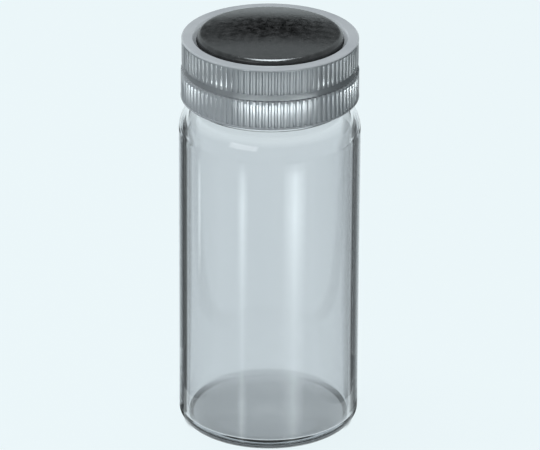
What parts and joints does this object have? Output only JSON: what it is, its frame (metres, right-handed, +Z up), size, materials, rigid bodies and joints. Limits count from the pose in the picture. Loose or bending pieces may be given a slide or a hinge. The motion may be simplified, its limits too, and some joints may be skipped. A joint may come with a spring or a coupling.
{
  "type": "glass sample vial",
  "caption": "Round clear-glass sample vial with a rounded shoulder, a ribbed open-topped screw cap and a domed black rubber septum that seals the mouth.",
  "frame": {"origin": "middle of the base, on the surface that the vial stands on", "axes": "+Z up along the vial's axis, towards the cap"},
  "size_m": [0.035, 0.035, 0.0817],
  "materials": {
    "vial_glass": "clear, polished",
    "cap_plastic": "clear grey, satin",
    "septum_rubber": "black, semi-gloss"
  },
  "bodies": {
    "vial": {"glass_vial": "vial_glass"},
    "septum": {"rubber_septum": "septum_rubber"},
    "cap": {"screw_cap": "cap_plastic"}
  },
  "joints": [
    {"name": "septum_lift", "type": "slide", "parent": "vial", "child": "septum", "axis": [0, 0, 1], "range_m": [0, 0.015]},
    {"name": "cap_turn", "type": "hinge", "parent": "septum", "child": "cap", "pos_m": [0, 0, 0.07395], "axis": [0, 0, 1], "range_deg": [0, 1800]}
  ],
  "couplings": [
    {"joint": "septum_lift", "follows": "cap_turn", "m_per_rad": 0.00047746}
  ]
}
